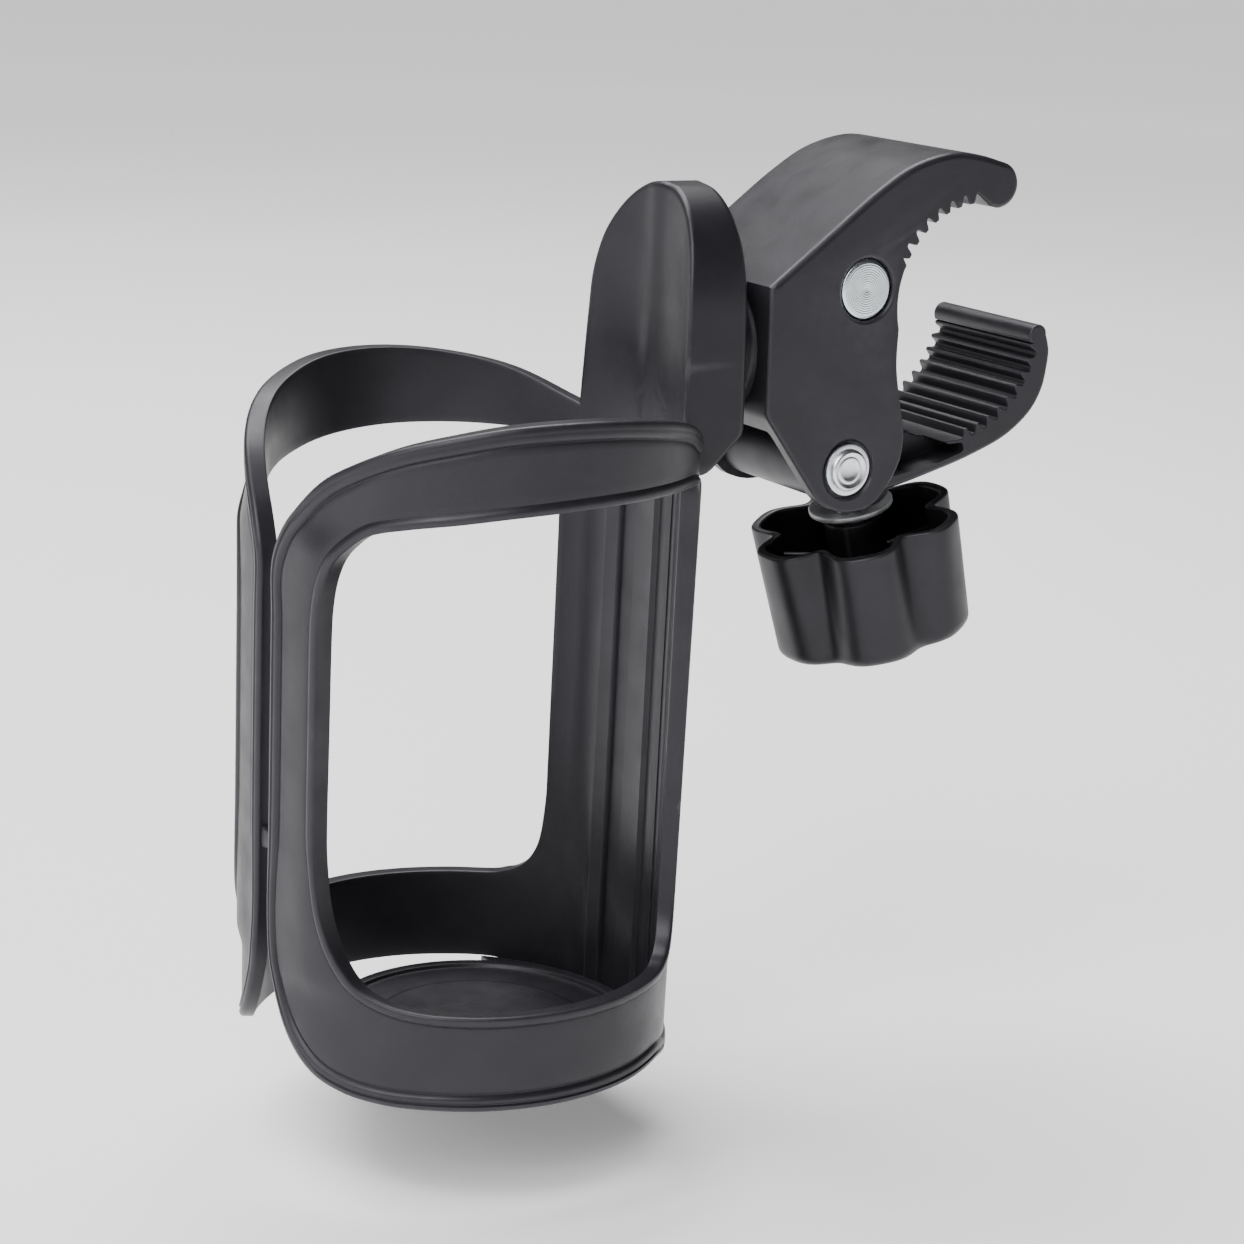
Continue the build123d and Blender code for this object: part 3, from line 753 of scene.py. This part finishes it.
def jaw_parts():
    """The jaw's side view, with how softly each point's edge is rounded."""
    low_side = [(70.4, 94.5), (78.0, 95.3), (90.0, 98.2), (98.6, 100.8), (106.6, 104.2)]
    high_side = [(111.8, 108.5), (114.1, 112.6), (114.9, 116.8), (115.0, 120.2), (114.0, 122.9)]
    under = spline(low_side + high_side, 1.2)
    lip = arc((111.9, 122.7), 2.1, 15, 215, 15)
    ribs = [284.0 + 8.25 * k for k in range(9)]
    grip = toothed(JAW_HOLLOW, 351.5, 257.0, 18.8, 20.4, ribs, 1.2, 2.6)
    top = spline([(86.2, 105.0), (80.6, 107.0), (75.0, 107.6), (69.0, 107.0)], 1.2)
    heel = arc(PIVOT, 6.6, 80, 290, 10)
    runs = ((under, 0.9), (lip, 0.45), (grip, 0.2), (top, 0.7), (heel, 0.6))
    return softened(runs)


def lower_jaw():
    """The jaw moulding, with a pocket in each side and a slot that the screw passes through."""
    outline, soft = jaw_parts()
    piece = prism_y(outline, JAW_W, soft).to_object("jaw_moulding")
    pocket = rounded(
        [(80.0, 97.9), (90.6, 99.9), (96.3, 101.7), (95.6, 103.4), (92.4, 103.3), (90.0, 104.4),
         (86.6, 104.6), (84.6, 106.0), (80.0, 106.0)],
        [0.5, 1.5, 0.8, 0.7, 0.9, 0.9, 0.8, 0.5, 0.5], 4,
    )
    for side in (-1, 1):
        cut(piece, prism_y(pocket, 8.0, 0.3, side * (JAW_W / 2 - 2.6)).to_object("pocket"))
    cut(piece, lathe([(0.01, -20), (3.3, -20), (3.3, 20), (0.01, 20)], on_cross(PIVOT), 64).to_object("bore"))
    slot = rounded([(-3.6, -7.3), (3.6, -7.3), (3.6, 7.3), (-3.6, 7.3)], [3.5] * 4, 10)
    rings = [[on_screw(u, v, height) for u, v in slot] for height in (-4.0, 26.0)]
    cut(piece, Shape().loft(rings).to_object("slot"))
    return piece


def saddle():
    """The rounded bearers under the jaw, one each side of the slot, that the washer pushes."""
    shape = Shape()
    outline = arc((81.4, 95.3), 4.8, 200, 340, 10) + [(86.0, 99.5), (76.6, 98.2)]
    for side in (-1, 1):
        low, high = side * 3.75, side * 6.5
        rings = soft_rings(outline, min(low, high), max(low, high), 0.4, 3)
        shape.loft([[(x, y, z) for (x, z), y in zip(ring, heights)] for ring, heights in rings])
    return shape.to_object("jaw_saddle")


dress(lower_jaw(), BLACK, "jaw", "black_plastic", "lower_jaw")
dress(saddle(), BLACK, "jaw", "black_plastic", "lower_jaw")

# ------------------------------------------------------------------ knob, washer and screw
KNOB_R, KNOB_SCALLOP, LOBES = 20.6, 4.9, 6
KNOB_RIM, KNOB_LOW, TUBE_TOP = -3.6, -26.4, -2.9
KNOB_TAPER, KNOB_WALL = 1.0, 2.0
EDGE, FOOT_ROUND = 0.6, 2.6      # the rim's and the base's rounding


def scallop(angle):
    """How far the wall is cut back: narrow round scallops between broad lobes."""
    wave = (1 + cos(LOBES * angle)) / 2
    return KNOB_SCALLOP * wave ** 2.2


def knob():
    """The hollow hand knob with its central tube; the scallops fade towards the base."""
    count = 30 * LOBES

    def ring(radius, height, lobed=1.0):
        points = []
        for k in range(count):
            angle = 2 * pi * k / count
            reach = radius - scallop(angle) * lobed
            points.append(on_screw(reach * cos(angle), reach * sin(angle), height))
        return points

    low_r = KNOB_R - KNOB_TAPER
    inner_r = KNOB_R - KNOB_WALL
    height = KNOB_RIM - KNOB_LOW
    floor_z = KNOB_LOW + KNOB_WALL + 1.2
    base = [ring(4.0, KNOB_LOW + 0.5, 0.0), ring(11.0, KNOB_LOW + 0.5, 0.0), ring(11.6, KNOB_LOW + 0.4, 0.05)]
    base += [ring(12.2, KNOB_LOW, 0.1), ring(15.6, KNOB_LOW, 0.35)]
    for k in range(7):
        turn = pi / 2 * k / 6
        reach = low_r - FOOT_ROUND * (1 - sin(turn)) * 0.9
        base.append(ring(reach, KNOB_LOW + FOOT_ROUND * (1 - cos(turn)), 0.4 + 0.15 * k / 6))
    outside = []
    for part in (k / 7 for k in range(1, 7)):
        level = KNOB_LOW + FOOT_ROUND + (height - FOOT_ROUND - EDGE) * part
        outside.append(ring(low_r + KNOB_TAPER * part, level, 0.55 + 0.45 * part))
    turns = [radians(degrees) for degrees in (0, 30, 60, 90)]
    rounds = [(EDGE * (1 - cos(t)), KNOB_RIM - EDGE * (1 - sin(t))) for t in turns]
    rim = [ring(KNOB_R - back, level) for back, level in rounds]
    rim += [ring(inner_r + back, level, 0.98) for back, level in reversed(rounds)]
    inside = [
        ring(inner_r - KNOB_TAPER * part, KNOB_RIM - (height - KNOB_WALL) * part, 0.98 - 0.42 * part)
        for part in (0.2, 0.45, 0.7, 0.9)
    ]
    inside.append(ring(low_r - KNOB_WALL - 0.5, floor_z + 0.4, 0.55))
    inside.append(ring(low_r - KNOB_WALL - 1.4, floor_z, 0.5))
    tube = [ring(10.0, floor_z, 0.1), ring(6.4, floor_z, 0.0), ring(5.8, floor_z + 0.6, 0.0)]
    tube += [ring(5.6, TUBE_TOP - 0.5, 0.0), ring(5.45, TUBE_TOP - 0.1, 0.0), ring(5.1, TUBE_TOP, 0.0)]
    tube += [ring(3.6, TUBE_TOP, 0.0), ring(3.2, TUBE_TOP - 0.3, 0.0), ring(3.12, TUBE_TOP - 2.0, 0.0)]
    return Shape().loft(base + outside + rim + inside + tube)


def knob_ribs(shape):
    """Thin radial ribs between the central tube and the lobed wall."""
    for number in range(LOBES):
        angle = 2 * pi * (number + 0.5) / LOBES
        across = radians(90) + angle
        section = rounded([(-0.7, 0), (0.7, 0), (0.6, 12.6), (-0.6, 12.6)], [0, 0, 0.3, 0.3], 3)
        rings = []
        for reach in (5.3, 9, 13, 18.2):
            ring = []
            for side, height in section:
                u = reach * cos(angle) + side * cos(across)
                v = reach * sin(angle) + side * sin(across)
                ring.append(on_screw(u, v, KNOB_LOW + 3.0 + height))
            rings.append(ring)
        shape.loft(rings)
    return shape


dress(knob_ribs(knob()).to_object("knob_moulding"), KNOB_BLACK, "screw", "knob_plastic", "knob")


def saucer():
    """The dished washer, hollow side up, with rolled edges."""
    thick, dish, hole, rim = 1.2, 1.3, 3.3, 8.0
    slope = [(hole, 1.0), (4.4, 0.86), (5.8, 0.55), (6.9, 0.24), (rim - 0.4, 0.07)]
    upper = [(r, -dish * fall) for r, fall in slope]
    edge = [(rim - 0.15, -0.05), (rim, -0.22), (rim, -0.9), (rim - 0.15, -1.12)]
    lower = [(r, -dish * fall - thick) for r, fall in reversed(slope)]
    return lathe(upper + edge + lower, on_screw, 96)


dress(saucer().to_object("saucer_washer"), ZINC, "washer", "plated_steel", "dished_washer", sharp=40)


def clamp_screw():
    """The screw with its real thread, from the knob's tube to its chamfered end."""
    low, high = KNOB_LOW + 8.0, 44.8 + 1.5
    pitch, around = 1.0, 28
    rows = round((high - low) / (pitch / 6))
    rings = []
    for row in range(rows + 1):
        height = low + (high - low) * row / rows
        ring = []
        for k in range(around):
            phase = (height / pitch - k / around) % 1.0
            depth = 0.34 * (1 - step(abs(phase - 0.5), 0.08, 0.44))
            taper = 0.5 * step(height, high - 0.9, high)
            angle = 2 * pi * k / around
            radius = 3.0 - depth - taper
            ring.append(on_screw(radius * cos(angle), radius * sin(angle), height))
        rings.append(ring)
    return Shape().loft(rings)


dress(clamp_screw().to_object("threaded_screw"), STEEL, "screw", "plated_steel", "clamp_screw", sharp=60)


# ------------------------------------------------------------------ steel cross parts
def both_ends(profile):
    """A profile of (radius, distance out from the middle), for the near end, then the far end."""
    return [(r, -h) for r, h in profile] + [(r, h) for r, h in reversed(profile)]


def barrel():
    """The steel cross nut, with its turned and chamfered ends."""
    end = 17.2
    near = [
        (0.01, end - 0.12), (0.5, end - 0.1), (0.9, end), (1.6, end - 0.05), (2.4, end), (3.3, end - 0.05),
        (4.2, end), (4.75, end - 0.02), (4.95, end - 0.1), (5.45, end - 0.55), (5.6, end - 0.8),
    ]
    piece = lathe(both_ends(near), on_cross(NUT), 128).to_object("barrel_steel")
    hole = lathe([(0.01, 34), (3.06, 34), (3.06, 56), (0.01, 56)], on_screw, 48).to_object("nut_hole")
    cut(piece, hole)
    return piece


dress(barrel(), turned_steel(), "nut", "plated_steel", "barrel_nut", sharp=40)


def rivet():
    """The tubular rivet with its rolled lips."""
    lip = [
        (0.01, 17.62), (0.7, 17.64), (1.3, 17.74), (1.7, 17.9), (1.9, 18.04), (2.15, 18.1), (2.35, 18.06),
        (2.55, 17.95), (2.75, 18.0), (3.0, 18.25), (3.3, 18.34), (3.6, 18.2), (3.8, 17.95), (3.88, 17.65),
        (3.8, 17.52), (3.2, 17.52),
    ]
    return lathe(both_ends(lip), on_cross(PIVOT), 96).to_object("rivet_steel")


def rivet_rings():
    """The washer under each of the rivet's lips."""
    shape = Shape()
    for side in (-1, 1):
        low, high = side * 16.72, side * 17.5
        ring = [
            (3.24, low), (4.6, low), (4.78, low + side * 0.15), (4.8, high - side * 0.3),
            (4.68, high - side * 0.08), (4.4, high), (3.9, high - side * 0.02), (3.24, high - side * 0.02),
        ]
        shape.join(lathe(ring, on_cross(PIVOT), 96))
    return shape.to_object("rivet_ring_steel")


dress(rivet(), STEEL, "clamp", "plated_steel", "pivot_rivet", sharp=40)
dress(rivet_rings(), STEEL, "clamp", "plated_steel", "rivet_washers", sharp=40)


# ------------------------------------------------------------------ carried-over CAD nodes
for node, material in (
    ("swivel_insert", BRASS), ("friction_pad", RUBBER), ("swivel_flat_washer", STEEL),
    ("swivel_spring_washer", STEEL), ("swivel_bolt", STEEL),
):
    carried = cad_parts[node]
    carried.data.materials.clear()
    carried.data.materials.append(material)

# ------------------------------------------------------------------ camera, floor and light
TURN, TILT, ROLL = radians(32.47), radians(14.44), radians(2.886)
FOCAL = 2955.3                  # in pixels of a 1244 pixel frame
FRAME_PX, SENSOR = 1244, 36.0
DISTANCE = 538.16               # to the cage's origin
RIGHT_PX, BELOW_PX = -168.66, 394.19       # where the cage's origin shows, from the middle of the frame
FLOOR_GAP, FLOOR_HALF = 0.012, 90.0        # metres; the clamp holds the cage clear of the table
NEAR_PAINTED_GLOW, FAR_PAINTED_GLOW = 0.22, 0.80           # painted glow: the table emits light itself, faintly near the object and more strongly round about


def photo_camera():
    """The camera at the photograph's angle, with its small roll."""
    ahead = Vector((sin(TURN) * cos(TILT), cos(TURN) * cos(TILT), -sin(TILT)))
    level = Vector((cos(TURN), -sin(TURN), 0))
    above = level.cross(ahead)
    right = level * cos(ROLL) + above * sin(ROLL)
    up = above * cos(ROLL) - level * sin(ROLL)
    eye = -ahead * DISTANCE - right * (RIGHT_PX / FOCAL * DISTANCE) + up * (BELOW_PX / FOCAL * DISTANCE)
    lens = bpy.data.cameras.new("camera")
    lens.sensor_width = SENSOR
    lens.lens = FOCAL / FRAME_PX * SENSOR
    lens.clip_start, lens.clip_end = 0.01, 20
    camera = bpy.data.objects.new("camera", lens)
    turned = Matrix((right, up, -ahead)).transposed().to_4x4()
    camera.matrix_world = Matrix.Translation(Vector(to_row(eye))) @ turned
    scene.collection.objects.link(camera)
    scene.camera = camera


def table():
    """The pale floor, with a painted glow: it emits light faintly near the object and more further away."""
    floor_z = CAD_BOX[0][2] - FLOOR_GAP
    material, tree, shader = new_material("pale_floor", (0.94, 0.94, 0.94), 0.8)
    clouds = span(tree, noise(tree, 6.0), 0.0, 1.0)
    tone = mix_colour(tree, clouds, (0.93, 0.93, 0.93), (0.95, 0.95, 0.95))
    tree.links.new(tone, shader.inputs["Base Color"])
    shader.inputs["Emission Color"].default_value = (1, 1, 1, 1)
    # painted light: emission strength grows with distance from the object, standing in for studio light on
    # the backdrop
    away = tree.nodes.new("ShaderNodeVectorMath")
    away.operation = "LENGTH"
    tree.links.new(tree.nodes.new("ShaderNodeTexCoord").outputs["Object"], away.inputs[0])
    painted_glow = span(tree, away.outputs["Value"], NEAR_PAINTED_GLOW, FAR_PAINTED_GLOW, 0.7, 2.4)
    tree.links.new(painted_glow, shader.inputs["Emission Strength"])
    ground = bpy.data.meshes.new("ground")
    half = FLOOR_HALF
    square = [(-half, -half, floor_z), (half, -half, floor_z), (half, half, floor_z), (-half, half, floor_z)]
    ground.from_pydata(square, [], [(0, 1, 2, 3)])
    ground.materials.append(material)
    floor_piece = bpy.data.objects.new("ground", ground)
    scene.collection.objects.link(floor_piece)


def studio_air():
    """A soft fill, brighter from the upper left, and a pale band along the horizon."""
    world = bpy.data.worlds.new("studio")
    world.use_nodes = True
    tree = world.node_tree
    background = tree.nodes["Background"]
    background.inputs["Color"].default_value = (1, 1, 1, 1)
    direction = tree.nodes.new("ShaderNodeTexCoord").outputs["Generated"]
    facing = tree.nodes.new("ShaderNodeVectorMath")
    facing.operation = "DOT_PRODUCT"
    facing.inputs[1].default_value = (-0.62, 0.12, 0.775)
    tree.links.new(direction, facing.inputs[0])
    height = tree.nodes.new("ShaderNodeSeparateXYZ")
    tree.links.new(direction, height.inputs[0])
    strength = tree.nodes.new("ShaderNodeMath")
    strength.operation = "ADD"
    tree.links.new(span(tree, facing.outputs["Value"], 0.01, 0.11, -0.25, 0.90), strength.inputs[0])
    tree.links.new(span(tree, height.outputs["Z"], 0.75, 0.0, 0.02, 0.30), strength.inputs[1])
    tree.links.new(strength.outputs[0], background.inputs["Strength"])
    scene.world = world


def area_light(name, place, size, power):
    """A soft light turned to the middle of the object."""
    light = bpy.data.lights.new(name, "AREA")
    light.shape = "RECTANGLE"
    light.size, light.size_y = size
    light.energy = power
    holder = bpy.data.objects.new(name, light)
    holder.location = place
    aim = (Vector((-0.05, 0, -0.05)) - Vector(place)).normalized()
    holder.rotation_euler = aim.to_track_quat("-Z", "Y").to_euler()
    scene.collection.objects.link(holder)


photo_camera()
table()
studio_air()
area_light("key", (-0.95, -0.6, 0.85), (1.0, 1.0), 20)
area_light("top", (-0.05, 0.55, 1.20), (1.4, 1.0), 36)
area_light("side", (-1.15, -0.10, 0.10), (0.25, 1.0), 2)
